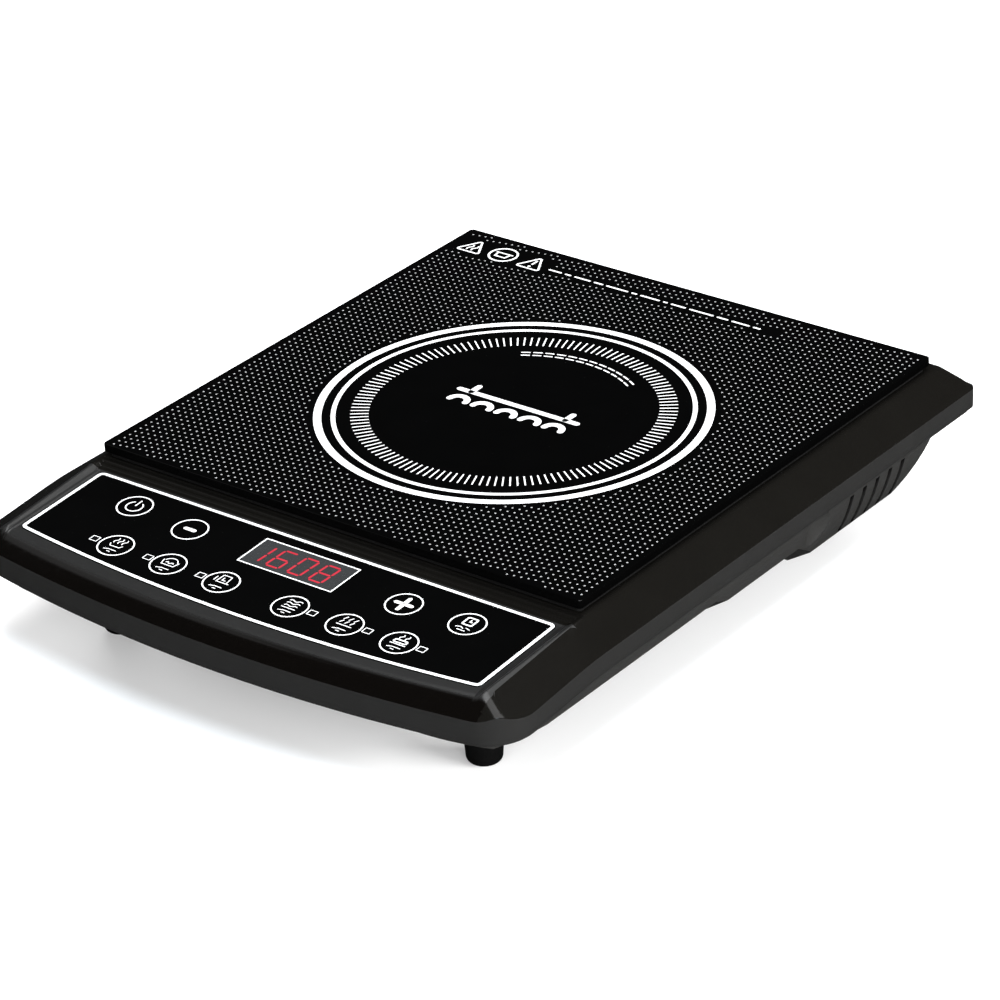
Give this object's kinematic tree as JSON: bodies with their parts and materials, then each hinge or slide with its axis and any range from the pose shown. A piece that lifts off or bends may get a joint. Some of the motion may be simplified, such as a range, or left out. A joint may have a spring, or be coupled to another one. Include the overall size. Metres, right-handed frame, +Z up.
{
  "type": "induction cooktop",
  "caption": "Portable induction cooktop with a flat glass cooking plate, a low front control panel with soft keys and a display window, and a plastic body on rubber feet.",
  "frame": {"origin": "centre of the footprint, on the plane that the feet stand on", "axes": "+X to the user's right, +Y from the front panel towards the rear, +Z up"},
  "size_m": [0.281, 0.355, 0.068],
  "materials": {
    "black_glass": "polished glass-ceramic, printed black underneath, opaque",
    "seal_rubber": "matt black silicone bead",
    "body_plastic": "near-black moulded plastic, fine satin sheen",
    "control_film": "smooth black polycarbonate film with a printed back",
    "smoked_lens": "smoked grey clear plastic",
    "switch_steel": "tinned steel can",
    "component_black": "moulded epoxy",
    "led_red": "tinted clear resin",
    "board_green": "green solder mask",
    "ribbon_grey": "grey vinyl",
    "foot_rubber": "moulded black rubber",
    "screw_steel": "zinc-plated",
    "gland_rubber": "moulded black rubber",
    "copper_wire": "enamelled copper",
    "carrier_resin": "heat-resistant glass-filled resin",
    "ferrite": "sintered, dark grey",
    "mica": "pressed mica sheet",
    "white_silicone": "soft white silicone",
    "white_ceramic": "white alumina",
    "terminal_brass": "plain brass",
    "heatsink_aluminium": "extruded, mill finish",
    "capacitor_yellow": "boxed film capacitor",
    "capacitor_red": "boxed film capacitor",
    "tape_yellow": "polyester tape over a bobbin",
    "capacitor_blue": "sleeved aluminium can",
    "fuse_glass": "clear glass tube",
    "fan_plastic": "black moulded plastic",
    "white_plastic": "natural acetal"
  },
  "bodies": {
    "housing": {"glass_plate": "black_glass", "glass_seal": "seal_rubber", "top_shell": "body_plastic", "panel_film": "control_film", "display_lens": "smoked_lens", "led_lenses": "smoked_lens", "tact_switches": "switch_steel", "display_module": "component_black", "status_leds": "led_red", "control_pcb": "board_green", "ribbon_cable": "ribbon_grey", "bottom_shell": "body_plastic", "foot_front_left": "foot_rubber", "foot_front_right": "foot_rubber", "foot_rear_left": "foot_rubber", "foot_rear_right": "foot_rubber", "case_screws": "screw_steel", "cable_gland": "gland_rubber", "induction_coil": "copper_wire", "coil_carrier": "carrier_resin", "ferrite_bars": "ferrite", "mica_sheet": "mica", "sensor_holder": "white_silicone", "temperature_sensor": "white_ceramic", "coil_leads": "copper_wire", "coil_terminals": "terminal_brass", "main_pcb": "board_green", "heatsink": "heatsink_aluminium", "igbt": "component_black", "bridge_rectifier": "component_black", "filter_capacitor": "capacitor_yellow", "resonant_capacitor": "capacitor_red", "choke": "copper_wire", "transformer": "tape_yellow", "electrolytic_caps": "capacitor_blue", "fuse": "fuse_glass", "buzzer": "component_black", "fan_housing": "fan_plastic", "fan_stator": "copper_wire"},
    "button_power": {"key_power": "control_film", "pusher_power": "white_plastic"},
    "button_minus": {"key_minus": "control_film", "pusher_minus": "white_plastic"},
    "button_plus": {"key_plus": "control_film", "pusher_plus": "white_plastic"},
    "button_timer": {"key_timer": "control_film", "pusher_timer": "white_plastic"},
    "button_mode_1": {"key_mode_1": "control_film", "pusher_mode_1": "white_plastic"},
    "button_mode_2": {"key_mode_2": "control_film", "pusher_mode_2": "white_plastic"},
    "button_mode_3": {"key_mode_3": "control_film", "pusher_mode_3": "white_plastic"},
    "button_mode_4": {"key_mode_4": "control_film", "pusher_mode_4": "white_plastic"},
    "button_mode_5": {"key_mode_5": "control_film", "pusher_mode_5": "white_plastic"},
    "button_mode_6": {"key_mode_6": "control_film", "pusher_mode_6": "white_plastic"},
    "fan": {"fan_rotor": "fan_plastic"}
  },
  "joints": [
    {"name": "press_power", "type": "slide", "parent": "housing", "child": "button_power", "axis": [0, 0.0558, -0.9984], "range_m": [0, 0.0004], "stiffness_N_per_m": 4000},
    {"name": "press_minus", "type": "slide", "parent": "housing", "child": "button_minus", "axis": [0, 0.0558, -0.9984], "range_m": [0, 0.0004], "stiffness_N_per_m": 4000},
    {"name": "press_plus", "type": "slide", "parent": "housing", "child": "button_plus", "axis": [0, 0.0558, -0.9984], "range_m": [0, 0.0004], "stiffness_N_per_m": 4000},
    {"name": "press_timer", "type": "slide", "parent": "housing", "child": "button_timer", "axis": [0, 0.0558, -0.9984], "range_m": [0, 0.0004], "stiffness_N_per_m": 4000},
    {"name": "press_mode_1", "type": "slide", "parent": "housing", "child": "button_mode_1", "axis": [0, 0.0558, -0.9984], "range_m": [0, 0.0004], "stiffness_N_per_m": 4000},
    {"name": "press_mode_2", "type": "slide", "parent": "housing", "child": "button_mode_2", "axis": [0, 0.0558, -0.9984], "range_m": [0, 0.0004], "stiffness_N_per_m": 4000},
    {"name": "press_mode_3", "type": "slide", "parent": "housing", "child": "button_mode_3", "axis": [0, 0.0558, -0.9984], "range_m": [0, 0.0004], "stiffness_N_per_m": 4000},
    {"name": "press_mode_4", "type": "slide", "parent": "housing", "child": "button_mode_4", "axis": [0, 0.0558, -0.9984], "range_m": [0, 0.0004], "stiffness_N_per_m": 4000},
    {"name": "press_mode_5", "type": "slide", "parent": "housing", "child": "button_mode_5", "axis": [0, 0.0558, -0.9984], "range_m": [0, 0.0004], "stiffness_N_per_m": 4000},
    {"name": "press_mode_6", "type": "slide", "parent": "housing", "child": "button_mode_6", "axis": [0, 0.0558, -0.9984], "range_m": [0, 0.0004], "stiffness_N_per_m": 4000},
    {"name": "fan_spin", "type": "hinge", "parent": "housing", "child": "fan", "pos_m": [-0.06, 0.078, 0.0265], "axis": [0, 0, 1], "continuous": true}
  ]
}
